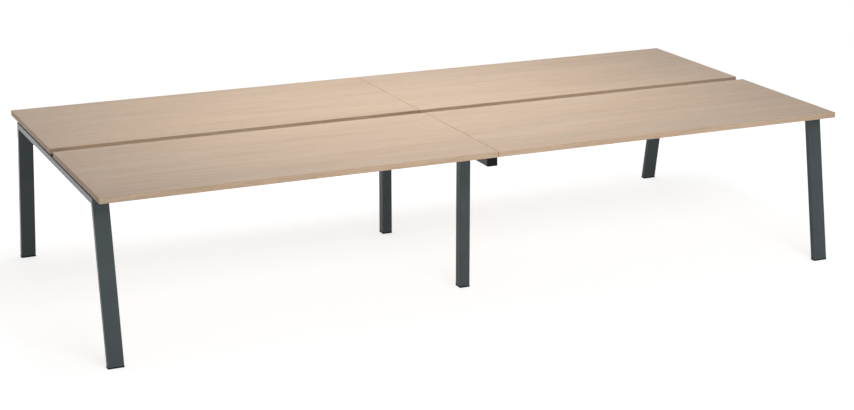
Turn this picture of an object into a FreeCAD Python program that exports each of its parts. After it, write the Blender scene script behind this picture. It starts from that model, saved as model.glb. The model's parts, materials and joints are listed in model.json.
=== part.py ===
"""Four-person bench desk: four worktops on two splayed end frames and an inset middle frame.

Millimetres, +Z up, +X along the desk, -Y towards the front row of seats. The origin lies on the
floor under the middle of the desk. Every driving size is a cell of the sheet called Sizes.
"""
import FreeCAD, Part
import os

import Sketcher

doc = FreeCAD.newDocument("bench_desk")
sheet = doc.addObject("Spreadsheet::Sheet", "Sizes")

SIZES = {
    # worktops
    "desk_length": 3600,
    "desk_height": 740,
    "top_depth": 800,
    "top_thickness": 25,
    "cable_gap": 60,
    "seam_gap": 2,
    "band_thickness": 2,
    "band_round": 1.2,
    "corner_radius": 3,
    # end frames, of flat oblong tube; the splay is in degrees
    "end_inset": 1,
    "tube_width": 70,
    "tube_thickness": 30,
    "tube_wall": 2,
    "tube_round": 3,
    "leg_splay": 10,
    "foot_overhang": 2.5,
    # middle frame, of square tube
    "middle_tube": 50,
    "middle_beam_setback": 63,
    "middle_leg_setback": 341,
    "beam_cap_flange": 4,
    "beam_cap_plug": 20,
    "beam_cap_wall": 3,
    # fixing plates between beams and worktops
    "plate_thickness": 7,
    "plate_width": 50,
    "plate_overhang": 45,
    "plate_inset": 10,
    "plate_round": 6,
    "plate_front_setback": 215,
    "plate_gap_setback": 95,
    "screw_radius": 2.5,
    "screw_length": 20,
    "screw_head_radius": 5,
    "screw_head_height": 3,
    "screw_tip_room": 1,
    "pilot_clearance": 0.02,
    # rails
    "rail_width": 25,
    "rail_height": 50,
    "rail_wall": 1.5,
    "rail_round": 2,
    "rail_plate_length": 90,
    "rail_plate_height": 28,
    "rail_plate_thickness": 4,
    "rail_plate_round": 4,
    "rail_bolt_spacing": 62,
    "rail_bolt_radius": 4,
    "rail_bolt_length": 18,
    "rail_bolt_flats": 13,
    "rail_bolt_head": 5.3,
    "bolt_clearance": 0.25,
    "rivet_nut_radius": 5.5,
    "rivet_nut_length": 14,
    # feet
    "foot_flange": 6,
    "foot_lip": 1,
    "foot_plug": 24,
    "fit_clearance": 0.15,
    "running_clearance": 0.05,
    "glide_radius": 12,
    "glide_lift": 0.3,
    "glide_floor": 1.6,
    "glide_round": 1,
    "glide_clearance": 0.4,
    "stud_radius": 4,
    "stud_head_radius": 6,
    "stud_head_height": 2,
    "stud_length": 34,
    "stud_tip": 0.8,
    "collar_flats": 13,
    "collar_height": 5,
    "collar_clearance": 0.5,
    # how far a cut runs past what it cuts
    "overrun": 5,
}

for row, (alias, value) in enumerate(SIZES.items(), start=1):
    sheet.set(f"A{row}", alias)
    sheet.set(f"B{row}", str(value))
    sheet.setAlias(f"B{row}", alias)
doc.recompute()

# Places and sizes that follow from the cells
HALF_LENGTH = "(Sizes.desk_length / 2)"
HALF_DEPTH = "(Sizes.top_depth + Sizes.cable_gap / 2)"
TOP_LENGTH = "((Sizes.desk_length - Sizes.seam_gap) / 2)"
TOP_X = f"({HALF_LENGTH} - {TOP_LENGTH} / 2)"
TOP_Y = f"({HALF_DEPTH} - Sizes.top_depth / 2)"
UNDERSIDE = "(Sizes.desk_height - Sizes.top_thickness)"
BEAM_TOP = f"({UNDERSIDE} - Sizes.plate_thickness)"
BEAM_BOTTOM = f"({BEAM_TOP} - Sizes.tube_thickness)"
BEAM_X = f"({HALF_LENGTH} - Sizes.end_inset - Sizes.tube_width / 2)"
SLOPE = "tan(Sizes.leg_splay)"
LEG_DEPTH = "(Sizes.tube_thickness / cos(Sizes.leg_splay))"
LEG_WALL = "(Sizes.tube_wall / cos(Sizes.leg_splay))"
LEG_TOE = f"({HALF_DEPTH} + Sizes.foot_overhang)"
LEG_FOOT_Y = f"({LEG_TOE} - Sizes.foot_flange * {SLOPE} - {LEG_DEPTH} / 2)"
MIDDLE_LEG_Y = f"({HALF_DEPTH} - Sizes.middle_leg_setback - Sizes.middle_tube / 2)"
MIDDLE_BEAM_BOTTOM = f"({BEAM_TOP} - Sizes.middle_tube)"
MIDDLE_BEAM_END = f"({HALF_DEPTH} - Sizes.middle_beam_setback - Sizes.beam_cap_flange)"
END_PLATE_LENGTH = "(Sizes.tube_width - Sizes.plate_inset + Sizes.plate_overhang)"
END_PLATE_X = f"({HALF_LENGTH} - Sizes.end_inset - Sizes.plate_inset - {END_PLATE_LENGTH} / 2)"
MIDDLE_PLATE_LENGTH = "(Sizes.middle_tube + 2 * Sizes.plate_overhang)"
PLATE_FRONT_Y = f"({HALF_DEPTH} - Sizes.plate_front_setback)"
PLATE_GAP_Y = "(Sizes.cable_gap / 2 + Sizes.plate_gap_setback)"
END_SCREW_X = f"({HALF_LENGTH} - Sizes.end_inset - Sizes.tube_width - Sizes.plate_overhang / 2)"
MIDDLE_SCREW_X = "(Sizes.middle_tube / 2 + Sizes.plate_overhang / 2)"
PILOT_RADIUS = "(Sizes.screw_radius + Sizes.pilot_clearance)"
PILOT_DEPTH = "(Sizes.screw_length - Sizes.plate_thickness + Sizes.screw_tip_room)"
RAIL_OUTER = f"({HALF_LENGTH} - Sizes.end_inset - Sizes.tube_width - Sizes.rail_plate_thickness)"
RAIL_INNER = "(Sizes.middle_tube / 2 + Sizes.rail_plate_thickness)"
RAIL_BOLT_Z = f"({BEAM_TOP} - Sizes.tube_thickness / 2)"
RIVET_HOLE = "(Sizes.rivet_nut_radius + Sizes.running_clearance)"
BOLT_HOLE = "(Sizes.rail_bolt_radius + Sizes.bolt_clearance)"
GLIDE_TOP = "(Sizes.foot_flange - Sizes.glide_lift)"
SOCKET_FLOOR = "(Sizes.glide_lift + Sizes.glide_floor)"
SOCKET_ROOF = f"({SOCKET_FLOOR} + Sizes.stud_head_height + 2 * Sizes.running_clearance)"
STUD_FOOT = f"({SOCKET_FLOOR} + Sizes.running_clearance)"
COLLAR_Z = f"({GLIDE_TOP} + Sizes.running_clearance)"
COLLAR_ROOM = "(Sizes.foot_flange + Sizes.collar_height + Sizes.glide_lift)"
COLLAR_RECESS = "(Sizes.collar_flats / 2 / cos(30) + Sizes.collar_clearance)"

LONG_EDGE_SHARE = 0.8
LEFT, RIGHT = -1, 1
FRONT, REAR = -1, 1
SIDES = {"left": LEFT, "right": RIGHT}
ROWS = {"front": FRONT, "rear": REAR}
X_AXIS = FreeCAD.Vector(1, 0, 0)
Y_AXIS = FreeCAD.Vector(0, 1, 0)
Z_AXIS = FreeCAD.Vector(0, 0, 1)
parts = []


def signed(sign, expression):
    """The expression, turned round on the negative side."""
    return expression if sign > 0 else f"-{expression}"


def half_turn(sign):
    """Pieces are drawn for the left or front side and turned half round for the other one."""
    return FreeCAD.Rotation(Z_AXIS, 180 if sign > 0 else 0)


def place(thing, x="0", y="0", z="0", rotation=None):
    """Turns an object, then binds its place to the sheet."""
    thing.Placement = FreeCAD.Placement(FreeCAD.Vector(), rotation or FreeCAD.Rotation())
    for axis, expression in zip("xyz", (x, y, z)):
        if expression != "0":
            thing.setExpression(f"Placement.Base.{axis}", expression)


def new_body(label):
    """An empty body whose label names the piece."""
    body = doc.addObject("PartDesign::Body", label)
    body.Label = label
    return body


def keep(piece):
    """Counts an object as one of the desk's pieces."""
    parts.append(piece)
    return piece


def new_sketch(body, name, role, height="0"):
    """A sketch on one of the body's own origin planes, lifted along the plane's normal."""
    plane = next(f for f in body.Origin.OriginFeatures if f.Role == role)
    sketch = body.newObject("Sketcher::SketchObject", name)
    sketch.AttachmentSupport = [(plane, "")]
    sketch.MapMode = "FlatFace"
    if height != "0":
        sketch.setExpression("AttachmentOffset.Base.z", height)
    return sketch


def hold_point(sketch, geometry, position, x, y):
    """Holds a point of the sketch at two bound distances from the sketch's origin."""
    for kind, axis, expression in (("DistanceX", -2, x), ("DistanceY", -1, y)):
        if expression == "0":
            sketch.addConstraint(Sketcher.Constraint("PointOnObject", geometry, position, axis))
            continue
        value = float(sheet.evalExpression(expression))
        number = sketch.addConstraint(Sketcher.Constraint(kind, -1, 1, geometry, position, value))
        sketch.setExpression(f"Constraints[{number}]", expression)


def outline(sketch, corners):
    """Draws a closed outline of straight lines through corners given as expressions."""
    points = []
    for corner in corners:
        x, y = (float(sheet.evalExpression(expression)) for expression in corner)
        points.append(FreeCAD.Vector(x, y, 0))
    count = len(points)
    for index in range(count):
        sketch.addGeometry(Part.LineSegment(points[index], points[(index + 1) % count]))
    for index in range(count):
        sketch.addConstraint(Sketcher.Constraint("Coincident", index, 2, (index + 1) % count, 1))
    for index, (x, y) in enumerate(corners):
        hold_point(sketch, index, 1, x, y)
    return sketch


def oblong(sketch, width, depth):
    """Draws a rectangle about the sketch's origin."""
    x, y = f"({width}) / 2", f"({depth}) / 2"
    return outline(sketch, [(f"-{x}", f"-{y}"), (x, f"-{y}"), (x, y), (f"-{x}", y)])


def circles(sketch, radius, centres):
    """Draws circles of one radius."""
    size = float(sheet.evalExpression(radius))
    for index, (x, y) in enumerate(centres):
        middle = FreeCAD.Vector(*(float(sheet.evalExpression(e)) for e in (x, y)), 0)
        sketch.addGeometry(Part.Circle(middle, Z_AXIS, size))
        hold_point(sketch, index, 3, x, y)
        number = sketch.addConstraint(Sketcher.Constraint("Radius", index, size))
        sketch.setExpression(f"Constraints[{number}]", radius)
    return sketch


def hexagon(sketch, flats):
    """Draws a hexagon about the sketch's origin."""
    corner = f"({flats} / 2 / cos(30))"
    return outline(sketch, [(f"{corner} * cos({60 * k + 30})", f"{corner} * sin({60 * k + 30})")
                            if k not in (1, 4) else ("0", f"{corner} * sin({60 * k + 30})")
                            for k in range(6)])


def pad(body, name, sketch, length, both_ways=False, back=False):
    """Raises a sketch into a solid."""
    feature = body.newObject("PartDesign::Pad", name)
    feature.Profile = sketch
    feature.SideType = "Symmetric" if both_ways else "One side"
    feature.Reversed = back
    feature.setExpression("Length", length)
    doc.recompute()
    return feature


def pocket(body, name, sketch, length, both_ways=False, along_normal=False):
    """Cuts a sketch out of the solid; the cut has to take something away."""
    before = body.Shape.Volume
    feature = body.newObject("PartDesign::Pocket", name)
    feature.Profile = sketch
    feature.SideType = "Symmetric" if both_ways else "One side"
    feature.Reversed = along_normal
    feature.setExpression("Length", length)
    doc.recompute()
    if not body.Shape.Volume < before:
        raise RuntimeError(f"{body.Label}: {name} cuts nothing")
    return feature


def revolve(body, name, sketch):
    """Turns a sketch round the body's upright axis."""
    feature = body.newObject("PartDesign::Revolution", name)
    feature.Profile = sketch
    feature.ReferenceAxis = (sketch, ["V_Axis"])
    feature.Angle = 360
    doc.recompute()
    return feature


def round_edges(body, name, feature, radius, chosen):
    """Rounds the feature's edges for which chosen(edge) is true."""
    names = [f"Edge{i}" for i, edge in enumerate(feature.Shape.Edges, start=1) if chosen(edge)]
    fillet = body.newObject("PartDesign::Fillet", name)
    fillet.Base = (feature, names)
    fillet.setExpression("Radius", radius)
    doc.recompute()
    return fillet


def long_edges(feature):
    """Picks the edges that run along a bar."""
    longest = max(edge.Length for edge in feature.Shape.Edges)
    return lambda edge: edge.Length > LONG_EDGE_SHARE * longest


def along(axis):
    """Picks the straight edges parallel to an axis."""
    def chosen(edge):
        start, end = (vertex.Point for vertex in edge.Vertexes)
        return (end - start).cross(axis).Length < edge.Length * edge.Tolerance
    return chosen


def level(edge):
    """True for an edge that lies level."""
    heights = [vertex.Z for vertex in edge.Vertexes]
    return max(heights) - min(heights) < edge.Tolerance


def worktop(row, side):
    """A board with four blind pilot holes in its underside for the fixing screws."""
    y_sign, x_sign = ROWS[row], SIDES[side]
    body = keep(new_body(f"worktop_{row}_{side}"))
    core = oblong(new_sketch(body, "Core", "XY_Plane"),
                  f"{TOP_LENGTH} - 2 * Sizes.band_thickness",
                  "Sizes.top_depth - 2 * Sizes.band_thickness")
    pad(body, "Board", core, "Sizes.top_thickness")
    centres = []
    for x in (END_SCREW_X, MIDDLE_SCREW_X):
        for y in (PLATE_FRONT_Y, PLATE_GAP_Y):
            centres.append((signed(x_sign, f"({x} - {TOP_X})"), signed(y_sign, f"({y} - {TOP_Y})")))
    pilots = circles(new_sketch(body, "Pilots", "XY_Plane"), PILOT_RADIUS, centres)
    pocket(body, "PilotHoles", pilots, PILOT_DEPTH, along_normal=True)
    place(body, signed(x_sign, TOP_X), signed(y_sign, TOP_Y), UNDERSIDE)


def edge_band(row, side):
    """The band round a board: rounded at the corners and along both arrises."""
    body = keep(new_body(f"edge_band_{row}_{side}"))
    face = oblong(new_sketch(body, "Face", "XY_Plane"), TOP_LENGTH, "Sizes.top_depth")
    block = pad(body, "Block", face, "Sizes.top_thickness")
    corners = round_edges(body, "Corners", block, "Sizes.corner_radius", along(Z_AXIS))
    round_edges(body, "Arrises", corners, "Sizes.band_round", level)
    inside = oblong(new_sketch(body, "Inside", "XY_Plane"),
                    f"{TOP_LENGTH} - 2 * Sizes.band_thickness",
                    "Sizes.top_depth - 2 * Sizes.band_thickness")
    pocket(body, "Opening", inside, "2 * Sizes.top_thickness", both_ways=True)
    place(body, signed(SIDES[side], TOP_X), signed(ROWS[row], TOP_Y), UNDERSIDE)


def end_beam(side):
    """The cross beam of an end frame, mitred to its legs, with holes for the rails' rivet nuts."""
    body = keep(new_body(f"end_beam_{side}"))
    top_y = f"({LEG_TOE} - {BEAM_TOP} * {SLOPE})"
    low_y = f"({LEG_TOE} - {LEG_DEPTH} - {BEAM_BOTTOM} * {SLOPE})"
    shape = outline(new_sketch(body, "Profile", "YZ_Plane"),
                    [(f"-{low_y}", BEAM_BOTTOM), (low_y, BEAM_BOTTOM),
                     (top_y, BEAM_TOP), (f"-{top_y}", BEAM_TOP)])
    bar = pad(body, "Bar", shape, "Sizes.tube_width", both_ways=True)
    round_edges(body, "Rounds", bar, "Sizes.tube_round", long_edges(bar))
    far = f"({top_y} + Sizes.overrun)"
    low, high = f"{BEAM_BOTTOM} + Sizes.tube_wall", f"{BEAM_TOP} - Sizes.tube_wall"
    void = outline(new_sketch(body, "Void", "YZ_Plane"),
                   [(f"-{far}", low), (far, low), (far, high), (f"-{far}", high)])
    pocket(body, "Bore", void, "Sizes.tube_width - 2 * Sizes.tube_wall", both_ways=True)
    holes = circles(new_sketch(body, "NutPlaces", "YZ_Plane"), RIVET_HOLE, bolt_places())
    pocket(body, "NutHoles", holes, "Sizes.tube_width", along_normal=True)
    place(body, signed(SIDES[side], BEAM_X), rotation=half_turn(SIDES[side]))


def bolt_places():
    """Where a rail's bolts meet a beam's side, as distances along Y and Z."""
    places = []
    for sign in (FRONT, REAR):
        for step in ("-", "+"):
            distance = f"({MIDDLE_LEG_Y} {step} Sizes.rail_bolt_spacing / 2)"
            places.append((signed(sign, distance), RAIL_BOLT_Z))
    return places


def splayed_leg(row, side):
    """A leg of an end frame: flat tube, cut level at the foot and mitred to the beam."""
    body = keep(new_body(f"leg_{row}_{side}"))

    def face(inset, height):
        return f"-({LEG_TOE} - ({inset}) - ({height}) * {SLOPE})"

    floor = "Sizes.foot_flange"
    shape = outline(new_sketch(body, "Profile", "YZ_Plane"),
                    [(face("0", floor), floor), (face(LEG_DEPTH, floor), floor),
                     (face(LEG_DEPTH, BEAM_BOTTOM), BEAM_BOTTOM), (face("0", BEAM_TOP), BEAM_TOP)])
    bar = pad(body, "Bar", shape, "Sizes.tube_width", both_ways=True)
    round_edges(body, "Rounds", bar, "Sizes.tube_round", long_edges(bar))
    low, high = f"({floor} - Sizes.overrun)", f"({BEAM_TOP} + Sizes.overrun)"
    near, far = LEG_WALL, f"{LEG_DEPTH} - {LEG_WALL}"
    void = outline(new_sketch(body, "Void", "YZ_Plane"),
                   [(face(near, low), low), (face(far, low), low),
                    (face(far, high), high), (face(near, high), high)])
    pocket(body, "Bore", void, "Sizes.tube_width - 2 * Sizes.tube_wall", both_ways=True)
    place(body, signed(SIDES[side], BEAM_X), rotation=half_turn(ROWS[row]))


def middle_beam():
    """The square cross beam of the middle frame, with rivet nut holes through both its sides."""
    body = keep(new_body("middle_beam"))
    shape = oblong(new_sketch(body, "Section", "XZ_Plane"), "Sizes.middle_tube", "Sizes.middle_tube")
    bar = pad(body, "Bar", shape, f"2 * {MIDDLE_BEAM_END}", both_ways=True)
    round_edges(body, "Rounds", bar, "Sizes.tube_round", long_edges(bar))
    inner = "Sizes.middle_tube - 2 * Sizes.tube_wall"
    void = oblong(new_sketch(body, "Void", "XZ_Plane"), inner, inner)
    pocket(body, "Bore", void, f"2 * ({MIDDLE_BEAM_END} + Sizes.overrun)", both_ways=True)
    height = f"({BEAM_TOP} - Sizes.middle_tube / 2)"
    places = [(y, f"({z} - {height})") for y, z in bolt_places()]
    holes = circles(new_sketch(body, "NutPlaces", "YZ_Plane"), RIVET_HOLE, places)
    pocket(body, "NutHoles", holes, "2 * Sizes.middle_tube", both_ways=True)
    place(body, z=height)


def middle_beam_cap(row):
    """A black cap pushed into an open end of the middle beam, hollow at the back."""
    body = keep(new_body(f"middle_beam_cap_{row}"))
    face = oblong(new_sketch(body, "Face", "XZ_Plane"), "Sizes.middle_tube", "Sizes.middle_tube")
    flange = pad(body, "Flange", face, "Sizes.beam_cap_flange")
    round_edges(body, "Rounds", flange, "Sizes.tube_round", along(Y_AXIS))
    width = "(Sizes.middle_tube - 2 * Sizes.tube_wall - 2 * Sizes.fit_clearance)"
    plug = oblong(new_sketch(body, "PlugSection", "XZ_Plane"), width, width)
    pad(body, "Plug", plug, "Sizes.beam_cap_plug", back=True)
    room = f"{width} - 2 * Sizes.beam_cap_wall"
    hollow = oblong(new_sketch(body, "HollowSection", "XZ_Plane"), room, room)
    pocket(body, "Hollow", hollow, "Sizes.beam_cap_plug + Sizes.overrun")
    sign = ROWS[row]
    height = f"({BEAM_TOP} - Sizes.middle_tube / 2)"
    place(body, y=signed(sign, MIDDLE_BEAM_END), z=height, rotation=half_turn(sign))


def middle_leg(row):
    """An upright square leg welded under the middle beam."""
    body = keep(new_body(f"middle_leg_{row}"))
    section = oblong(new_sketch(body, "Section", "XY_Plane", "Sizes.foot_flange"),
                     "Sizes.middle_tube", "Sizes.middle_tube")
    bar = pad(body, "Bar", section, f"{MIDDLE_BEAM_BOTTOM} - Sizes.foot_flange")
    round_edges(body, "Rounds", bar, "Sizes.tube_round", long_edges(bar))
    inner = "Sizes.middle_tube - 2 * Sizes.tube_wall"
    void = oblong(new_sketch(body, "Void", "XY_Plane"), inner, inner)
    pocket(body, "Bore", void, f"{MIDDLE_BEAM_BOTTOM} + Sizes.overrun", along_normal=True)
    place(body, y=signed(ROWS[row], MIDDLE_LEG_Y))


def rail(row, side):
    """A rail under a worktop, between an end beam and the middle beam."""
    body = keep(new_body(f"rail_{row}_{side}"))
    length = f"({RAIL_OUTER} - {RAIL_INNER})"
    section = oblong(new_sketch(body, "Section", "YZ_Plane"), "Sizes.rail_width", "Sizes.rail_height")
    bar = pad(body, "Bar", section, length, both_ways=True)
    round_edges(body, "Rounds", bar, "Sizes.rail_round", long_edges(bar))
    void = oblong(new_sketch(body, "Void", "YZ_Plane"),
                  "Sizes.rail_width - 2 * Sizes.rail_wall", "Sizes.rail_height - 2 * Sizes.rail_wall")
    pocket(body, "Bore", void, f"{length} + 2 * Sizes.overrun", both_ways=True)
    place(body, signed(SIDES[side], f"(({RAIL_OUTER} + {RAIL_INNER}) / 2)"),
          signed(ROWS[row], MIDDLE_LEG_Y), f"{BEAM_TOP} - Sizes.rail_height / 2")


def rail_plate_pattern():
    """One end plate, welded to a rail's end and bolted to a beam's side. Its outer face lies at x = 0."""
    body = new_body("rail_plate_pattern")
    face = oblong(new_sketch(body, "Face", "YZ_Plane"), "Sizes.rail_plate_length", "Sizes.rail_plate_height")
    plate = pad(body, "Plate", face, "Sizes.rail_plate_thickness")
    round_edges(body, "Rounds", plate, "Sizes.rail_plate_round", along(X_AXIS))
    step = "(Sizes.rail_bolt_spacing / 2)"
    holes = circles(new_sketch(body, "BoltPlaces", "YZ_Plane"), BOLT_HOLE, [(f"-{step}", "0"), (step, "0")])
    pocket(body, "BoltHoles", holes, "2 * Sizes.rail_plate_thickness", both_ways=True)
    return body


def top_plate_pattern(name, length, screw_places):
    """One fixing plate with a screw hole for each worktop that it carries."""
    body = new_body(name)
    face = oblong(new_sketch(body, "Face", "XY_Plane"), length, "Sizes.plate_width")
    plate = pad(body, "Plate", face, "Sizes.plate_thickness")
    round_edges(body, "Rounds", plate, "Sizes.plate_round", along(Z_AXIS))
    radius = "(Sizes.screw_radius + Sizes.bolt_clearance)"
    holes = circles(new_sketch(body, "ScrewPlaces", "XY_Plane"), radius, [(x, "0") for x in screw_places])
    pocket(body, "ScrewHoles", holes, "2 * Sizes.plate_thickness", both_ways=True)
    return body


def rail_bolt_pattern():
    """One hexagon bolt standing on its head's seat at z = 0, with its shank downwards."""
    body = new_body("rail_bolt_pattern")
    head = hexagon(new_sketch(body, "HeadSection", "XY_Plane"), "Sizes.rail_bolt_flats")
    pad(body, "Head", head, "Sizes.rail_bolt_head")
    shank = circles(new_sketch(body, "ShankSection", "XY_Plane"), "Sizes.rail_bolt_radius", [("0", "0")])
    pad(body, "Shank", shank, "Sizes.rail_bolt_length", back=True)
    return body


def rivet_nut_pattern():
    """One rivet nut: a sleeve whose flush end lies at z = 0."""
    body = new_body("rivet_nut_pattern")
    outer = circles(new_sketch(body, "Outside", "XY_Plane"), "Sizes.rivet_nut_radius", [("0", "0")])
    pad(body, "Sleeve", outer, "Sizes.rivet_nut_length", back=True)
    bore = "(Sizes.rail_bolt_radius + Sizes.running_clearance)"
    inner = circles(new_sketch(body, "Inside", "XY_Plane"), bore, [("0", "0")])
    pocket(body, "Bore", inner, "2 * (Sizes.rivet_nut_length + Sizes.overrun)", both_ways=True)
    return body


def screw_pattern():
    """One fixing screw with a pan head under its seat at z = 0."""
    body = new_body("screw_pattern")
    shank = circles(new_sketch(body, "ShankSection", "XY_Plane"), "Sizes.screw_radius", [("0", "0")])
    pad(body, "Shank", shank, "Sizes.screw_length")
    head = circles(new_sketch(body, "HeadSection", "XY_Plane"), "Sizes.screw_head_radius", [("0", "0")])
    pad(body, "Head", head, "Sizes.screw_head_height", back=True)
    return body


def group(label, pattern, places):
    """A piece made of copies of one pattern, each at (x, y, z, rotation)."""
    copies = []
    for index, (x, y, z, rotation) in enumerate(places, start=1):
        copy = doc.addObject("App::Link", f"{label}_{index}")
        copy.LinkedObject = pattern
        copy.LinkTransform = False
        place(copy, x, y, z, rotation)
        copies.append(copy)
    compound = keep(doc.addObject("Part::Compound", label))
    compound.Label = label
    compound.Links = copies


def rail_ends():
    """End plates, bolts and rivet nuts of the four rails."""
    plate = rail_plate_pattern()
    to_left = FreeCAD.Rotation(Z_AXIS, -X_AXIS)
    to_right = FreeCAD.Rotation(Z_AXIS, X_AXIS)
    bolts, nuts = [], []
    for row, y_sign in ROWS.items():
        for side, x_sign in SIDES.items():
            y = signed(y_sign, MIDDLE_LEG_Y)
            out_x = f"({RAIL_OUTER} + Sizes.rail_plate_thickness)"
            in_x = "(Sizes.middle_tube / 2)"
            group(f"rail_plates_{row}_{side}", plate,
                  [(signed(x_sign, out_x), y, RAIL_BOLT_Z, half_turn(x_sign)),
                   (signed(x_sign, in_x), y, RAIL_BOLT_Z, half_turn(-x_sign))])
            for seat, face, outward in ((RAIL_OUTER, out_x, -x_sign), (RAIL_INNER, in_x, x_sign)):
                turn = to_right if outward > 0 else to_left
                for step in ("-", "+"):
                    bolt_y = f"({y} {step} Sizes.rail_bolt_spacing / 2)"
                    bolts.append((signed(x_sign, seat), bolt_y, RAIL_BOLT_Z, turn))
                    nuts.append((signed(x_sign, face), bolt_y, RAIL_BOLT_Z, turn))
    group("rail_bolts", rail_bolt_pattern(), bolts)
    group("rail_rivet_nuts", rivet_nut_pattern(), nuts)


def top_fixings():
    """Fixing plates on the three beams, and the screws that hold the worktops down."""
    out = f"({END_PLATE_LENGTH} / 2 - Sizes.plate_overhang / 2)"
    end_plate = top_plate_pattern("end_plate_pattern", END_PLATE_LENGTH, [out])
    middle_plate = top_plate_pattern("middle_plate_pattern", MIDDLE_PLATE_LENGTH,
                                     [f"-{MIDDLE_SCREW_X}", MIDDLE_SCREW_X])
    depths = [signed(sign, y) for sign in (FRONT, REAR) for y in (PLATE_FRONT_Y, PLATE_GAP_Y)]
    for side, sign in SIDES.items():
        group(f"top_plates_{side}", end_plate,
              [(signed(sign, END_PLATE_X), y, BEAM_TOP, half_turn(sign)) for y in depths])
    group("top_plates_middle", middle_plate, [("0", y, BEAM_TOP, None) for y in depths])
    screws = []
    for sign in (LEFT, RIGHT):
        for x in (END_SCREW_X, MIDDLE_SCREW_X):
            screws += [(signed(sign, x), y, BEAM_TOP, None) for y in depths]
    group("top_screws", screw_pattern(), screws)


def foot_cap(label, width, depth, wall, slope):
    """A black cap under a leg: a lipped flange on the floor, a plug that follows the tube, and a
    stepped bore for the glide, the stud's collar and the stud."""
    body = keep(new_body(f"foot_cap_{label}"))
    face = oblong(new_sketch(body, "Face", "XY_Plane"),
                  f"{width} + 2 * Sizes.foot_lip", f"{depth} + 2 * Sizes.foot_lip")
    flange = pad(body, "Flange", face, "Sizes.foot_flange")
    round_edges(body, "Rounds", flange, "Sizes.tube_round + Sizes.foot_lip", along(Z_AXIS))
    half = f"(({depth}) / 2 - {wall} - Sizes.fit_clearance)"
    low, high = "Sizes.foot_flange", "(Sizes.foot_flange + Sizes.foot_plug)"
    lean = f"(Sizes.foot_plug * {slope})"
    profile = outline(new_sketch(body, "PlugProfile", "YZ_Plane"),
                      [(f"-{half}", low), (half, low),
                       (f"({half} + {lean})", high), (f"({lean} - {half})", high)])
    across = f"{width} - 2 * Sizes.tube_wall - 2 * Sizes.fit_clearance"
    pad(body, "Plug", profile, across, both_ways=True)
    for name, radius, room in (("GlideRecess", "(Sizes.glide_radius + Sizes.glide_clearance)", low),
                               ("CollarRecess", COLLAR_RECESS, COLLAR_ROOM),
                               ("Thread", "(Sizes.stud_radius + Sizes.running_clearance)",
                                f"({high} + Sizes.overrun)")):
        ring = circles(new_sketch(body, f"{name}Section", "XY_Plane"), radius, [("0", "0")])
        pocket(body, name, ring, room, along_normal=True)
    return body


def glide(label):
    """The round glide: a shallow cup that the stud's head turns in, under a lip."""
    body = keep(new_body(f"glide_{label}"))
    radius, low = "Sizes.glide_radius", "Sizes.glide_lift"
    neck = "(Sizes.stud_radius + Sizes.running_clearance)"
    socket = "(Sizes.stud_head_radius + Sizes.running_clearance)"
    profile = outline(new_sketch(body, "Profile", "XZ_Plane"), [
        ("0", low), (f"({radius} - Sizes.glide_round)", low), (radius, f"({low} + Sizes.glide_round)"),
        (radius, GLIDE_TOP), (neck, GLIDE_TOP), (neck, SOCKET_ROOF), (socket, SOCKET_ROOF),
        (socket, SOCKET_FLOOR), ("0", SOCKET_FLOOR)])
    revolve(body, "Cup", profile)
    return body


def glide_stud(label):
    """The levelling stud: a head in the glide, a hexagon collar over it and a shank in the cap."""
    body = keep(new_body(f"glide_stud_{label}"))
    shank, head = "Sizes.stud_radius", "Sizes.stud_head_radius"
    neck = f"({STUD_FOOT} + Sizes.stud_head_height)"
    end = f"({STUD_FOOT} + Sizes.stud_length)"
    profile = outline(new_sketch(body, "Profile", "XZ_Plane"), [
        ("0", STUD_FOOT), (head, STUD_FOOT), (head, neck), (shank, neck),
        (shank, f"({end} - Sizes.stud_tip)"), (f"({shank} - Sizes.stud_tip)", end), ("0", end)])
    revolve(body, "Turning", profile)
    collar = hexagon(new_sketch(body, "CollarSection", "XY_Plane", COLLAR_Z), "Sizes.collar_flats")
    pad(body, "Collar", collar, "Sizes.collar_height")
    return body


def foot(label, x, y, width, depth, wall, slope, turn):
    """A levelling foot: its cap, glide and stud on one upright axis."""
    for piece in (foot_cap(label, width, depth, wall, slope), glide(label), glide_stud(label)):
        place(piece, x, y, rotation=turn)


for row in ROWS:
    for side in SIDES:
        worktop(row, side)
        edge_band(row, side)
        splayed_leg(row, side)
        rail(row, side)
        foot(f"{row}_{side}", signed(SIDES[side], BEAM_X), signed(ROWS[row], LEG_FOOT_Y),
             "Sizes.tube_width", LEG_DEPTH, LEG_WALL, SLOPE, half_turn(ROWS[row]))
    middle_leg(row)
    middle_beam_cap(row)
    foot(f"middle_{row}", "0", signed(ROWS[row], MIDDLE_LEG_Y),
         "Sizes.middle_tube", "Sizes.middle_tube", "Sizes.tube_wall", "0", half_turn(ROWS[row]))
for side in SIDES:
    end_beam(side)
middle_beam()
rail_ends()
top_fixings()
doc.recompute()

for thing in doc.Objects:
    if "Invalid" in thing.State or "Error" in thing.State:
        raise RuntimeError(f"{thing.Name} failed: {thing.State}")
for piece in parts:
    if piece.Shape.isNull() or not piece.Shape.isValid():
        raise RuntimeError(f"{piece.Label} has no valid shape")

os.makedirs("parts", exist_ok=True)
for piece in parts:
    piece.Shape.exportStep(f"parts/{piece.Label}.step")
print(len(parts), "pieces written")
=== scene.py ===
"""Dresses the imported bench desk: finishes, weld beads, threads and fastener heads, then stage and camera.

Lengths are in metres in the CAD frame: +X along the desk, -Y towards the front row of seats, +Z up.
"""
import json
import math

import bmesh
import bpy
from mathutils import Matrix, Vector


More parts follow.
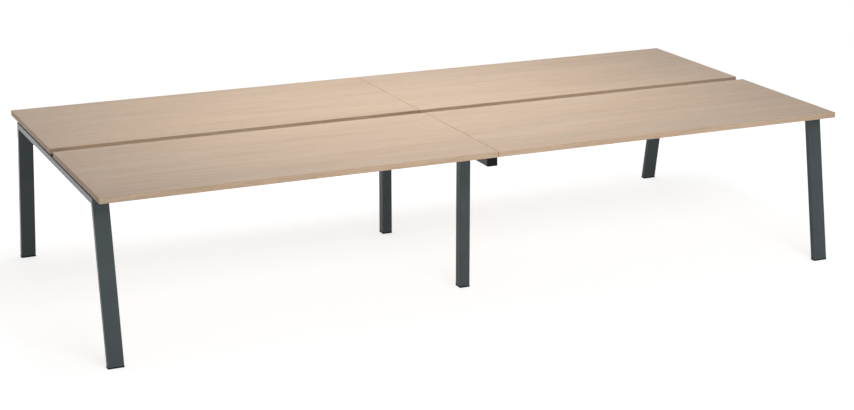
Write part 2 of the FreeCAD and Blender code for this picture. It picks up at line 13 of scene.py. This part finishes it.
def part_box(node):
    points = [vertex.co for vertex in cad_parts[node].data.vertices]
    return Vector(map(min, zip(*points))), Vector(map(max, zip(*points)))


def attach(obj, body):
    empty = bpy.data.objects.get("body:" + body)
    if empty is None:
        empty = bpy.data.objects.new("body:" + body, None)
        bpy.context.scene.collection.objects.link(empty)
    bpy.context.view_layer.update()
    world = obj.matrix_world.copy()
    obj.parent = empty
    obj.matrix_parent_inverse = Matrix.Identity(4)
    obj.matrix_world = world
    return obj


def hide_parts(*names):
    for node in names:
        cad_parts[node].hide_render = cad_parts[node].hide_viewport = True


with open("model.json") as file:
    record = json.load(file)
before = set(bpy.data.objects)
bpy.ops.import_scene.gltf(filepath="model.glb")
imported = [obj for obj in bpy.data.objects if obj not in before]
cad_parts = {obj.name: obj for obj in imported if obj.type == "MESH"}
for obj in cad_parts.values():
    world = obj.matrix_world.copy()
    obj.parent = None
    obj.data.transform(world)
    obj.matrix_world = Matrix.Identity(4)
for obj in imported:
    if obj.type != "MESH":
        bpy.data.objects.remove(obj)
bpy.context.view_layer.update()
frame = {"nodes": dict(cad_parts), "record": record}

MM = 0.001
ROWS = {"front": -1, "rear": 1}
SIDES = {"left": -1, "right": 1}
FEET = [f"{row}_{side}" for row in ROWS for side in SIDES] + [f"middle_{row}" for row in ROWS]
FRAME_BODY = "desk_frame"

# The Mix node has a set of sockets for each kind of data, all with the same names
MIX_COLOUR_A, MIX_COLOUR_B, MIX_COLOUR_OUT = 6, 7, 2
MIX_VECTOR_A, MIX_VECTOR_B, MIX_VECTOR_OUT = 4, 5, 1


class Finish:
    """A material under construction, with short calls for its nodes."""

    def __init__(self, name):
        self.material = bpy.data.materials.new(name)
        self.material.use_nodes = True
        self.tree = self.material.node_tree
        self.shader = self.tree.nodes["Principled BSDF"]

    def put(self, socket, value):
        """Links a socket, or sets its own value."""
        if isinstance(value, bpy.types.NodeSocket):
            self.tree.links.new(value, socket)
        else:
            socket.default_value = value

    def node(self, kind, inputs, **settings):
        """Adds a node with its settings and inputs."""
        made = self.tree.nodes.new(kind)
        for key, value in settings.items():
            setattr(made, key, value)
        for key, value in inputs.items():
            self.put(made.inputs[key], value)
        return made

    def surface(self, **inputs):
        """Sets the shader's sockets, named with underscores for spaces."""
        for key, value in inputs.items():
            self.put(self.shader.inputs[key.replace("_", " ")], value)

    def coords(self):
        """Places on the object, in metres."""
        return self.tree.nodes.new("ShaderNodeTexCoord").outputs["Object"]

    def noise(self, vector, waves, offset=(0.0, 0.0, 0.0), detail=2.0, rough=0.5, distortion=0.0):
        """Noise with its own waves to the metre along each axis."""
        mapped = self.node("ShaderNodeMapping", {"Vector": vector, "Scale": waves, "Location": offset})
        made = self.node("ShaderNodeTexNoise", {
            "Vector": mapped.outputs["Vector"], "Scale": 1.0, "Detail": detail,
            "Roughness": rough, "Distortion": distortion})
        return made.outputs["Fac"]

    def sums(self, operation, first, second):
        """Works out one value from two."""
        return self.node("ShaderNodeMath", {0: first, 1: second}, operation=operation).outputs["Value"]

    def spread(self, value, span, onto):
        """Maps a span onto another one, clamped."""
        made = self.node("ShaderNodeMapRange", {
            "Value": value, "From Min": span[0], "From Max": span[1], "To Min": onto[0], "To Max": onto[1]})
        return made.outputs["Result"]

    def ramp(self, value, stops):
        """Colours along a value."""
        made = self.node("ShaderNodeValToRGB", {"Fac": value})
        elements = made.color_ramp.elements
        while len(elements) < len(stops):
            elements.new(stops[len(elements)][0])
        for element, (position, colour) in zip(elements, stops):
            element.position = position
            element.color = (*colour, 1.0)
        return made.outputs["Color"]

    def darken(self, colour, factor, shade):
        """Multiplies a colour by a shade where the factor says so."""
        inputs = {0: factor, MIX_COLOUR_A: colour, MIX_COLOUR_B: (*shade, 1.0)}
        made = self.node("ShaderNodeMix", inputs, data_type="RGBA", blend_type="MULTIPLY")
        return made.outputs[MIX_COLOUR_OUT]

    def bump(self, height, strength, distance):
        """Raises the surface by a height pattern."""
        made = self.node("ShaderNodeBump", {"Height": height, "Strength": strength, "Distance": distance})
        self.put(self.shader.inputs["Normal"], made.outputs["Normal"])


# Waves are to the metre along X, Y and Z; a span is the part of a pattern that is drawn on
NOISE_SPAN, OFF_TO_ON = (0.3, 0.7), (0.0, 1.0)

WOOD_STOPS = [(0.32, (0.520, 0.368, 0.248)), (0.44, (0.580, 0.422, 0.294)),
              (0.54, (0.628, 0.466, 0.332)), (0.68, (0.664, 0.510, 0.374))]
BAND_TINT = (1.06, 1.08, 1.10)
BAND_STOPS = [(position, tuple(tint * part for tint, part in zip(BAND_TINT, colour)))
              for position, colour in WOOD_STOPS]
PORE_WAVES, PORE_SPAN, PORE_SHADE = (17.0, 620.0, 620.0), (0.58, 0.70), (0.82, 0.76, 0.70)
BLUSH_WAVES, BLUSH_SPAN, BLUSH_SHADE = (1.1, 11.0, 11.0), (0.40, 0.65), (1.0, 0.955, 0.915)
BLUSH_OFFSET = 5.0
FIGURE_WAVES, FIGURE_SHARE = (0.8, 6.5, 6.5), 0.32
STREAK_WAVES, STREAK_SHARE = (2.3, 52.0, 52.0), 0.40
FINE_WAVES, FINE_SHARE = (7.0, 240.0, 240.0), 0.28
ROUGH_BELOW, ROUGH_ABOVE = 0.05, 0.07
GRAIN_BUMP, GRAIN_DEPTH = 0.10, 0.15 * MM
END_FACE_SHARE = 0.7


def along_the_run(finish, place):
    """Turns places on a band's end faces, so that the grain follows the band round the board."""
    normal = finish.tree.nodes.new("ShaderNodeNewGeometry").outputs["Normal"]
    lengthways = finish.node("ShaderNodeSeparateXYZ", {0: normal}).outputs["X"]
    at_end = finish.sums("GREATER_THAN", finish.sums("ABSOLUTE", lengthways, 0.0), END_FACE_SHARE)
    axes = finish.node("ShaderNodeSeparateXYZ", {0: place}).outputs
    swapped = finish.node("ShaderNodeCombineXYZ", {"X": axes["Y"], "Y": axes["X"], "Z": axes["Z"]})
    inputs = {0: at_end, MIX_VECTOR_A: place, MIX_VECTOR_B: swapped.outputs["Vector"]}
    return finish.node("ShaderNodeMix", inputs, data_type="VECTOR").outputs[MIX_VECTOR_OUT]


def wood(name, offset, stops, rough, specular, is_band=False):
    """Wood-grain melamine: grain along X, or along the run of a band."""
    finish = Finish(name)
    place = finish.coords()
    if is_band:
        place = along_the_run(finish, place)
    figure = finish.noise(place, FIGURE_WAVES, offset, detail=3.0, rough=0.55, distortion=0.4)
    streaks = finish.noise(place, STREAK_WAVES, offset, detail=5.0, rough=0.62, distortion=0.25)
    fine = finish.noise(place, FINE_WAVES, offset, detail=3.0, rough=0.6)
    pores = finish.noise(place, PORE_WAVES, offset, detail=1.0)
    blush = finish.noise(place, BLUSH_WAVES, tuple(BLUSH_OFFSET + part for part in offset), detail=2.0)
    tone = finish.sums("ADD", finish.sums("MULTIPLY", figure, FIGURE_SHARE),
                       finish.sums("MULTIPLY", streaks, STREAK_SHARE))
    tone = finish.sums("ADD", tone, finish.sums("MULTIPLY", fine, FINE_SHARE))
    open_pores = finish.spread(pores, PORE_SPAN, OFF_TO_ON)
    colour = finish.darken(finish.ramp(tone, stops), finish.spread(blush, BLUSH_SPAN, OFF_TO_ON), BLUSH_SHADE)
    colour = finish.darken(colour, open_pores, PORE_SHADE)
    roughness = finish.spread(fine, NOISE_SPAN, (rough - ROUGH_BELOW, rough + ROUGH_ABOVE))
    finish.surface(Base_Color=colour, Roughness=roughness, Specular_IOR_Level=specular)
    finish.bump(finish.sums("SUBTRACT", fine, open_pores), GRAIN_BUMP, GRAIN_DEPTH)
    return finish.material


PAINT_STOPS = [(0.3, (0.080, 0.098, 0.103)), (0.7, (0.091, 0.110, 0.116))]
PAINT_ROUGH, PAINT_SPECULAR = (0.27, 0.35), 0.10
CLOUD_WAVES, PEEL_WAVES = (9.0, 9.0, 9.0), (850.0, 850.0, 850.0)
PEEL_BUMP, PEEL_DEPTH = 0.12, 0.12 * MM


def powder_coat(name):
    """Dark grey powder coat with the fine peel of a sprayed finish."""
    finish = Finish(name)
    place = finish.coords()
    cloud = finish.noise(place, CLOUD_WAVES, detail=3.0)
    peel = finish.noise(place, PEEL_WAVES, detail=2.0, rough=0.6)
    finish.surface(Base_Color=finish.ramp(cloud, PAINT_STOPS), Specular_IOR_Level=PAINT_SPECULAR,
                   Roughness=finish.spread(peel, NOISE_SPAN, PAINT_ROUGH))
    finish.bump(peel, PEEL_BUMP, PEEL_DEPTH)
    return finish.material


PLASTIC_STOPS = [(0.35, (0.0055, 0.0065, 0.0072)), (0.75, (0.010, 0.0115, 0.0125))]
PLASTIC_ROUGH, PLASTIC_SPECULAR = (0.46, 0.60), 0.12
SCUFF_WAVES, EROSION_WAVES = (60.0, 60.0, 190.0), (1500.0, 1500.0, 1500.0)
EROSION_BUMP, EROSION_DEPTH = 0.18, 0.10 * MM


def moulded_plastic(name):
    """Black plastic with a spark-eroded grain."""
    finish = Finish(name)
    place = finish.coords()
    erosion = finish.noise(place, EROSION_WAVES, detail=2.0)
    scuffs = finish.noise(place, SCUFF_WAVES, detail=4.0, rough=0.65)
    finish.surface(Base_Color=finish.ramp(scuffs, PLASTIC_STOPS), Specular_IOR_Level=PLASTIC_SPECULAR,
                   Roughness=finish.spread(erosion, NOISE_SPAN, PLASTIC_ROUGH))
    finish.bump(erosion, EROSION_BUMP, EROSION_DEPTH)
    return finish.material


ZINC_STOPS = [(0.3, (0.47, 0.485, 0.50)), (0.7, (0.62, 0.625, 0.62))]
ZINC_ROUGH = (0.24, 0.40)
PATCH_WAVES, TURNING_WAVES = (420.0, 420.0, 420.0), (300.0, 300.0, 5200.0)
TURNING_BUMP, TURNING_DEPTH = 0.10, 0.05 * MM


def zinc_plate(name):
    """Bright zinc on turned and pressed steel."""
    finish = Finish(name)
    place = finish.coords()
    patches = finish.noise(place, PATCH_WAVES, detail=3.0)
    lines = finish.noise(place, TURNING_WAVES, detail=2.0)
    finish.surface(Base_Color=finish.ramp(patches, ZINC_STOPS), Metallic=1.0,
                   Roughness=finish.spread(patches, NOISE_SPAN, ZINC_ROUGH))
    finish.bump(lines, TURNING_BUMP, TURNING_DEPTH)
    return finish.material


def dress(node, material):
    """Gives a CAD node its finish."""
    for place in frame["nodes"][node].material_slots:
        place.material = material


WORKTOP_ROUGH, WORKTOP_SPECULAR = 0.42, 0.30
BAND_ROUGH, BAND_SPECULAR = 0.58, 0.12
BOARD_OFFSETS = {"front_left": (0.0, 0.0, 0.0), "front_right": (7.3, 31.0, 2.0),
                 "rear_left": (3.9, 77.0, 5.0), "rear_right": (11.2, 53.0, 9.0)}

paint = powder_coat("frame_powder_coat")
plastic = moulded_plastic("moulded_black_plastic")
zinc = zinc_plate("bright_zinc")
by_slot = {"frame_steel": paint, "black_plastic": plastic, "zinc_steel": zinc}
for part in frame["record"]["subparts"]:
    if part["material_slot"] in by_slot:
        dress(part["node"], by_slot[part["material_slot"]])
for board, offset in BOARD_OFFSETS.items():
    dress(f"worktop_{board}",
          wood(f"wood_grain_{board}", offset, WOOD_STOPS, WORKTOP_ROUGH, WORKTOP_SPECULAR))
    dress(f"edge_band_{board}",
          wood(f"band_grain_{board}", offset, BAND_STOPS, BAND_ROUGH, BAND_SPECULAR, is_band=True))

TURNED_SIDES, BEAD_SIDES, TINY = 24, 12, 1e-9


def circle(radius):
    """A ring's radius that is the same all round."""
    return lambda angle: radius


def hexagon(apothem, most):
    """A hexagon's radius at an angle, cut back to the most that a chamfer leaves."""
    sixth = math.pi / 3

    def radius(angle):
        return min(apothem / math.cos((angle + sixth / 2) % sixth - sixth / 2), most)
    return radius


def cross(length, width):
    """The radius of a driver's cross recess at an angle."""
    def radius(angle):
        across, up = abs(math.cos(angle)) + TINY, abs(math.sin(angle)) + TINY
        return max(min(length / across, width / up), min(width / across, length / up))
    return radius


def turned(mesh, rings, place, count=TURNED_SIDES):
    """Adds a closed form about its own Z from rings of height and radius."""
    loops = []
    for height, radius in rings:
        loop = []
        for k in range(count):
            angle = 2 * math.pi * k / count
            size = radius(angle)
            point = Vector((size * math.cos(angle), size * math.sin(angle), height))
            loop.append(mesh.verts.new(place @ point))
        loops.append(loop)
    for low, high in zip(loops, loops[1:]):
        for k in range(count):
            following = (k + 1) % count
            mesh.faces.new((low[k], low[following], high[following], high[k]))
    mesh.faces.new(list(reversed(loops[0])))
    mesh.faces.new(loops[-1])


def piece(name, mesh, material, body, smooth_degrees):
    """Makes a mesh into a piece that rides on a body."""
    data = bpy.data.meshes.new(name)
    mesh.to_mesh(data)
    mesh.free()
    data.materials.append(material)
    made = bpy.data.objects.new(name, data)
    bpy.context.scene.collection.objects.link(made)
    data.shade_smooth()
    data.set_sharp_from_angle(angle=math.radians(smooth_degrees))
    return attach(made, body)


def facing(start, direction):
    """The place of a form whose own Z points along a direction."""
    return Matrix.Translation(start) @ Vector(direction).to_track_quat("Z", "Y").to_matrix().to_4x4()


CHAMFER_END_SHARE = 0.97
CHAMFER_STEP_SHARES = (0.0, 0.5, 1.0)


def chamfered_hexagon(low, high, apothem, chamfer):
    """Rings of a hexagon with both its ends chamfered."""
    corner = apothem / math.cos(math.pi / 6)
    end = CHAMFER_END_SHARE * apothem
    rings = []
    for share in CHAMFER_STEP_SHARES:
        rings.append((low + share * chamfer, hexagon(apothem, end + share * (corner - end))))
    for share in reversed(CHAMFER_STEP_SHARES):
        rings.append((high - share * chamfer, hexagon(apothem, end + share * (corner - end))))
    return rings


THREAD_PITCH, THREAD_DEPTH, THREAD_ROOM, THREAD_STEPS = 1.25 * MM, 0.68 * MM, 0.03 * MM, 6
FLANK_SLOPE, ROOT_FLAT_SHARE = 1.7, 0.35


def thread(low, high, major):
    """Rings of a screw thread whose crests wind round the axis."""
    def ring(height):
        def radius(angle):
            phase = (height / THREAD_PITCH - angle / (2 * math.pi)) % 1.0
            flank = min(max(FLANK_SLOPE * abs(2 * phase - 1) - ROOT_FLAT_SHARE, 0.0), 1.0)
            return major - THREAD_DEPTH * (1 - flank)
        return radius

    count = int((high - low) / THREAD_PITCH * THREAD_STEPS)
    heights = [low + (high - low) * k / count for k in range(count + 1)]
    return [(height, ring(height)) for height in heights]


STUD_RADIUS, STUD_HEAD_RADIUS, STUD_HEAD_HEIGHT, STUD_HEAD_ROUND = 4.0 * MM, 6.0 * MM, 2.0 * MM, 0.4 * MM
COLLAR_LOW, COLLAR_HIGH, COLLAR_APOTHEM, COLLAR_CHAMFER = 5.75 * MM, 10.75 * MM, 6.5 * MM, 0.7 * MM
THREAD_SMOOTH, HEAD_SMOOTH, BEAD_SMOOTH = 40, 30, 60


def threaded_stud(foot):
    """A levelling stud with its thread, collar and head, in the place of the plain one."""
    node = f"glide_stud_{foot}"
    lo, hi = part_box(node)
    axis = Matrix.Translation(((lo.x + hi.x) / 2, (lo.y + hi.y) / 2, 0.0))
    neck = lo.z + STUD_HEAD_HEIGHT
    rings = [(lo.z, circle(STUD_HEAD_RADIUS - STUD_HEAD_ROUND)),
             (lo.z + STUD_HEAD_ROUND, circle(STUD_HEAD_RADIUS)), (neck, circle(STUD_HEAD_RADIUS)),
             (neck, circle(STUD_RADIUS)), (COLLAR_LOW, circle(STUD_RADIUS))]
    rings += chamfered_hexagon(COLLAR_LOW, COLLAR_HIGH, COLLAR_APOTHEM, COLLAR_CHAMFER)
    rings += [(COLLAR_HIGH, circle(STUD_RADIUS - THREAD_DEPTH))]
    rings += thread(COLLAR_HIGH, hi.z - THREAD_DEPTH, STUD_RADIUS - THREAD_ROOM)
    rings += [(hi.z, circle(STUD_RADIUS - 2 * THREAD_DEPTH))]
    mesh = bmesh.new()
    turned(mesh, rings, axis)
    made = piece(f"threaded_stud_{foot}", mesh, zinc, f"{foot}_stud", THREAD_SMOOTH)
    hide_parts(node)


for foot in FEET:
    threaded_stud(foot)

BOLT_APOTHEM, BOLT_HEAD, BOLT_FACE, BOLT_CHAMFER = 6.5 * MM, 5.3 * MM, 0.4 * MM, 0.8 * MM
BOLT_RADIUS, BOLT_LENGTH, BOLT_TIP = 4.0 * MM, 18.0 * MM, 0.8 * MM
BOLT_DISH_RADIUS, BOLT_DISH_DEPTH = 4.2 * MM, 0.5 * MM
BOLT_SPACING, RAIL_PLATE_THICKNESS = 62.0 * MM, 4.0 * MM


def bolt_rings():
    """A hexagon bolt on its seat at zero, with a washer face under the head and a dished top."""
    rings = [(-BOLT_LENGTH, circle(BOLT_RADIUS - BOLT_TIP)), (BOLT_TIP - BOLT_LENGTH, circle(BOLT_RADIUS)),
             (0.0, circle(BOLT_RADIUS)), (0.0, circle(CHAMFER_END_SHARE * BOLT_APOTHEM))]
    rings += chamfered_hexagon(BOLT_FACE, BOLT_HEAD, BOLT_APOTHEM, BOLT_CHAMFER)
    rings += [(BOLT_HEAD, circle(BOLT_DISH_RADIUS)),
              (BOLT_HEAD - BOLT_DISH_DEPTH, circle(BOLT_DISH_RADIUS - BOLT_DISH_DEPTH))]
    return rings


def rail_bolt_set():
    """The bolts through the end plates of the four rails, two to a plate."""
    mesh = bmesh.new()
    for row in ROWS:
        for side in SIDES:
            lo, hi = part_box(f"rail_plates_{row}_{side}")
            middle_y, middle_z = (lo.y + hi.y) / 2, (lo.z + hi.z) / 2
            for seat, heading in ((lo.x + RAIL_PLATE_THICKNESS, 1), (hi.x - RAIL_PLATE_THICKNESS, -1)):
                for step in (-1, 1):
                    centre = (seat, middle_y + step * BOLT_SPACING / 2, middle_z)
                    turned(mesh, bolt_rings(), facing(centre, (heading, 0, 0)))
    bolts = piece("rail_bolt_set", mesh, zinc, FRAME_BODY, HEAD_SMOOTH)
    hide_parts("rail_bolts")


rail_bolt_set()

PLATE_OVERHANG, PLATE_GAP_SETBACK = 45.0 * MM, 95.0 * MM
SCREW_RADIUS, SCREW_LENGTH, SCREW_POINT, POINT_SHARE = 2.5 * MM, 20.0 * MM, 3.0 * MM, 0.1
SCREW_HEAD_RADIUS, SCREW_HEAD_HEIGHT = 5.0 * MM, 3.0 * MM
SCREW_HEAD_SHARES = [(0.0, 0.98), (0.15, 1.0), (0.45, 0.98), (0.72, 0.89), (0.90, 0.74), (1.0, 0.58)]
RECESS_LENGTH, RECESS_WIDTH, RECESS_DEPTH, RECESS_TAPER_SHARE = 2.6 * MM, 0.7 * MM, 1.9 * MM, 0.6


def screw_rings():
    """A pan-head screw with a cross recess; its seat lies at zero and its head above it."""
    rings = [(-SCREW_LENGTH, circle(POINT_SHARE * SCREW_RADIUS)),
             (SCREW_POINT - SCREW_LENGTH, circle(SCREW_RADIUS)), (0.0, circle(SCREW_RADIUS))]
    rings += [(height * SCREW_HEAD_HEIGHT, circle(width * SCREW_HEAD_RADIUS))
              for height, width in SCREW_HEAD_SHARES]
    rings += [(SCREW_HEAD_HEIGHT, cross(RECESS_LENGTH, RECESS_WIDTH)),
              (SCREW_HEAD_HEIGHT - RECESS_DEPTH,
               cross(RECESS_TAPER_SHARE * RECESS_LENGTH, RECESS_TAPER_SHARE * RECESS_WIDTH))]
    return rings


def top_screw_set():
    """The screws that hold the worktops down on the fixing plates, heads down."""
    mesh = bmesh.new()
    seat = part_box("end_beam_left")[1].z
    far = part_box("top_screws")[1]
    screw_x = (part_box("middle_beam")[1].x + PLATE_OVERHANG / 2, far.x - SCREW_HEAD_RADIUS)
    screw_y = (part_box("edge_band_rear_left")[0].y + PLATE_GAP_SETBACK, far.y - SCREW_HEAD_RADIUS)
    heads_down = Matrix.Rotation(math.pi, 4, "X")
    for x in screw_x:
        for y in screw_y:
            for x_sign in SIDES.values():
                for y_sign in ROWS.values():
                    place = Matrix.Translation((x_sign * x, y_sign * y, seat))
                    turned(mesh, screw_rings(), place @ heads_down)
    screws = piece("top_screw_set", mesh, zinc, FRAME_BODY, HEAD_SMOOTH)
    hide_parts("top_screws")


top_screw_set()

RIPPLE, RIPPLE_DEPTH_SHARE, RIPPLE_STEPS, RIPPLE_PHASE = 2.6 * MM, 0.16, 4, 0.6
BEAD_LEAST_STEPS, BEAD_END_SHARES = 8, (0.35, 0.75)
CORNER_BEAD, FACE_BEAD, RAIL_BEAD = 2.6 * MM, 1.5 * MM, 2.2 * MM
FACE_BEAD_SUNK, BEAD_INSET = 0.8 * MM, 3.0 * MM


def bead(mesh, start, end, radius):
    """Adds a weld bead along a line: overlapping ripples that taper at both ends."""
    line = Vector(end) - Vector(start)
    count = max(int(line.length / RIPPLE * RIPPLE_STEPS), BEAD_LEAST_STEPS)
    rings = []
    for k in range(count + 1):
        wave = abs(math.sin(math.pi * k / RIPPLE_STEPS + RIPPLE_PHASE))
        taper = dict(enumerate(BEAD_END_SHARES)).get(min(k, count - k), 1.0)
        size = radius * taper * (1 - RIPPLE_DEPTH_SHARE * (1 - wave))
        rings.append((line.length * k / count, circle(size)))
    turned(mesh, rings, facing(start, line), count=BEAD_SIDES)


def welds(name, mesh):
    """Makes painted beads into a piece of the frame."""
    piece(name, mesh, paint, FRAME_BODY, BEAD_SMOOTH)


def mitre_welds(side, x_sign):
    """Beads in the inner corners of an end frame and across its mitres' inner faces."""
    mesh = bmesh.new()
    beam_lo, beam_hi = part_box(f"end_beam_{side}")
    inner_x = min(abs(beam_lo.x), abs(beam_hi.x)) * x_sign
    face_x = inner_x + x_sign * FACE_BEAD_SUNK
    for row, y_sign in ROWS.items():
        leg_lo, leg_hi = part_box(f"leg_{row}_{side}")
        corner_y = leg_lo.y if y_sign > 0 else leg_hi.y
        mitre_y = beam_hi.y if y_sign > 0 else beam_lo.y
        bead(mesh, (beam_lo.x + BEAD_INSET, corner_y, beam_lo.z),
             (beam_hi.x - BEAD_INSET, corner_y, beam_lo.z), CORNER_BEAD)
        bead(mesh, (face_x, corner_y, beam_lo.z), (face_x, mitre_y, beam_hi.z - BEAD_INSET / 2), FACE_BEAD)
    welds(f"mitre_welds_{side}", mesh)


def middle_leg_welds():
    """Beads where the middle legs meet their beam."""
    mesh = bmesh.new()
    beam_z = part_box("middle_beam")[0].z
    for row in ROWS:
        leg_lo, leg_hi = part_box(f"middle_leg_{row}")
        for y in (leg_lo.y, leg_hi.y):
            bead(mesh, (leg_lo.x + BEAD_INSET, y, beam_z), (leg_hi.x - BEAD_INSET, y, beam_z), CORNER_BEAD)
    welds("middle_leg_welds", mesh)


def rail_welds():
    """Upright beads where the rails meet their end plates."""
    mesh = bmesh.new()
    for row in ROWS:
        for side in SIDES:
            rail_lo, rail_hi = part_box(f"rail_{row}_{side}")
            plate_lo, plate_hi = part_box(f"rail_plates_{row}_{side}")
            for x in (rail_lo.x, rail_hi.x):
                for y in (rail_lo.y, rail_hi.y):
                    bead(mesh, (x, y, plate_lo.z + BEAD_INSET), (x, y, plate_hi.z - BEAD_INSET), RAIL_BEAD)
    welds("rail_welds", mesh)


for side, x_sign in SIDES.items():
    mitre_welds(side, x_sign)
middle_leg_welds()
rail_welds()

FLOOR_HALF, FLOOR_DROP, FLOOR_COLOUR = 40.0, 0.3 * MM, (0.80, 0.80, 0.80)
# The floor glows less near the desk than far from it: a painted shade round the desk.
GLOW_NEAR_PAINTED_SHADE, GLOW_FAR, GLOW_REACH, GLOW_FADE_SHARE = 0.72, 0.82, (4.6, 3.6, 1.0), 0.5
WHITE, WHITE_STRENGTH, WORLD_LIGHT = (1.0, 1.0, 1.0, 1.0), 1.0, 0.22


def seen_directly(tree):
    """One for camera, glossy and transmission rays, zero for the rays that carry light."""
    path = tree.nodes.new("ShaderNodeLightPath")
    total = path.outputs["Is Camera Ray"]
    for name in ("Is Glossy Ray", "Is Transmission Ray"):
        added = tree.nodes.new("ShaderNodeMath")
        added.operation = "MAXIMUM"
        tree.links.new(total, added.inputs[0])
        tree.links.new(path.outputs[name], added.inputs[1])
        total = added.outputs["Value"]
    return total


def floor_material():
    """A pale floor, white away from the desk and see-through from below; its glow is dimmer near the desk, a
    painted shade, and the cast shadow shows there too.
    """
    finish = Finish("floor_pale")
    tree = finish.tree
    tree.nodes.remove(finish.shader)
    matt = finish.node("ShaderNodeBsdfDiffuse", {"Color": (*FLOOR_COLOUR, 1.0)})
    place = finish.node("ShaderNodeMapping", {
        "Vector": finish.coords(), "Scale": tuple(1 / reach for reach in GLOW_REACH)}).outputs["Vector"]
    # Less glow near the desk: painted shade.
    painted_shade_nearness = finish.node("ShaderNodeTexGradient", {"Vector": place}, gradient_type="SPHERICAL")
    level = finish.spread(painted_shade_nearness.outputs["Fac"], (0.0, GLOW_FADE_SHARE), (GLOW_FAR, GLOW_NEAR_PAINTED_SHADE))
    strength = finish.sums("MULTIPLY", seen_directly(tree), level)
    glow = finish.node("ShaderNodeEmission", {"Strength": strength})
    both = finish.node("ShaderNodeAddShader", {0: matt.outputs[0], 1: glow.outputs[0]})
    clear = tree.nodes.new("ShaderNodeBsdfTransparent")
    under = tree.nodes.new("ShaderNodeNewGeometry").outputs["Backfacing"]
    out = finish.node("ShaderNodeMixShader", {0: under, 1: both.outputs[0], 2: clear.outputs[0]})
    tree.links.new(out.outputs[0], tree.nodes["Material Output"].inputs["Surface"])
    return finish.material


def lay_floor():
    """The floor that the desk stands on."""
    corners = [(-1, -1), (1, -1), (1, 1), (-1, 1)]
    data = bpy.data.meshes.new("floor")
    data.from_pydata([(x * FLOOR_HALF, y * FLOOR_HALF, -FLOOR_DROP) for x, y in corners], [], [(0, 1, 2, 3)])
    data.materials.append(floor_material())
    floor = bpy.data.objects.new("floor", data)
    bpy.context.scene.collection.objects.link(floor)


def light_world():
    """A white surround that gives only a little light."""
    world = bpy.data.worlds.new("studio")
    bpy.context.scene.world = world
    world.use_nodes = True
    tree = world.node_tree
    sky = tree.nodes["Background"]
    sky.inputs["Color"].default_value = WHITE
    level = tree.nodes.new("ShaderNodeMapRange")
    level.inputs["To Min"].default_value = WORLD_LIGHT
    level.inputs["To Max"].default_value = WHITE_STRENGTH
    tree.links.new(seen_directly(tree), level.inputs["Value"])
    tree.links.new(level.outputs["Result"], sky.inputs["Strength"])


def softbox(name, place, target, size, watts, mirrored=True):
    """A soft area light that faces a point and stays out of the picture."""
    lamp = bpy.data.lights.new(name, "AREA")
    lamp.shape = "RECTANGLE"
    lamp.size, lamp.size_y = size
    lamp.energy = watts
    made = bpy.data.objects.new(name, lamp)
    made.location = place
    made.rotation_mode = "QUATERNION"
    made.rotation_quaternion = (Vector(target) - Vector(place)).to_track_quat("-Z", "Y")
    made.visible_camera = False
    made.visible_glossy = mirrored
    bpy.context.scene.collection.objects.link(made)


lay_floor()
light_world()

TOP_HEIGHT, FILL_HEIGHT = 0.74, 0.38
LONG_FILL, SHORT_FILL = (4.8, 0.6), (2.4, 0.6)
softbox("key_softbox", place=(0.0, 0.2, 2.05), target=(0.0, 0.2, TOP_HEIGHT), size=(2.8, 1.9), watts=27.3)
softbox("front_high", place=(0.1, -6.0, 4.2), target=(0.1, 0.0, TOP_HEIGHT), size=(4.0, 1.5), watts=79.5,
        mirrored=False)
softbox("front_fill", place=(0.15, -3.2, FILL_HEIGHT), target=(0.1, 0.0, FILL_HEIGHT), size=LONG_FILL,
        watts=31.0, mirrored=False)
softbox("rear_fill", place=(0.1, 3.2, FILL_HEIGHT), target=(0.1, 0.0, FILL_HEIGHT), size=LONG_FILL,
        watts=24.0, mirrored=False)
softbox("right_fill", place=(4.2, 0.0, FILL_HEIGHT), target=(0.0, 0.0, FILL_HEIGHT), size=SHORT_FILL,
        watts=12.0, mirrored=False)
softbox("left_fill", place=(-4.2, 0.0, FILL_HEIGHT), target=(0.0, 0.0, FILL_HEIGHT), size=SHORT_FILL,
        watts=3.5, mirrored=False)
softbox("left_bounce", place=(-2.35, 2.5, 0.03), target=(-2.35, 2.5, TOP_HEIGHT), size=(1.0, 3.6),
        watts=7.5)

IMAGE_WIDTH, FOCAL_PIXELS, SENSOR_WIDTH, CLIP_END = 854, 1870.8, 36.0, 200.0
CAMERA_PLACE, CAMERA_YAW, CAMERA_PITCH = (-3.5581, -7.9925, 2.8630), 0.4214, 0.2881


def place_camera():
    """The camera at the photograph's viewing angle, from its yaw to the right of +Y and pitch downwards."""
    camera = bpy.data.cameras.new("camera")
    camera.sensor_fit = "HORIZONTAL"
    camera.sensor_width = SENSOR_WIDTH
    camera.lens = FOCAL_PIXELS * SENSOR_WIDTH / IMAGE_WIDTH
    camera.clip_end = CLIP_END
    eye = bpy.data.objects.new("camera", camera)
    eye.location = CAMERA_PLACE
    level = math.cos(CAMERA_PITCH)
    looks = Vector((math.sin(CAMERA_YAW) * level, math.cos(CAMERA_YAW) * level, -math.sin(CAMERA_PITCH)))
    eye.rotation_mode = "QUATERNION"
    eye.rotation_quaternion = looks.to_track_quat("-Z", "Y")
    bpy.context.scene.collection.objects.link(eye)
    bpy.context.scene.camera = eye


place_camera()
bpy.context.scene.view_settings.view_transform = "Standard"
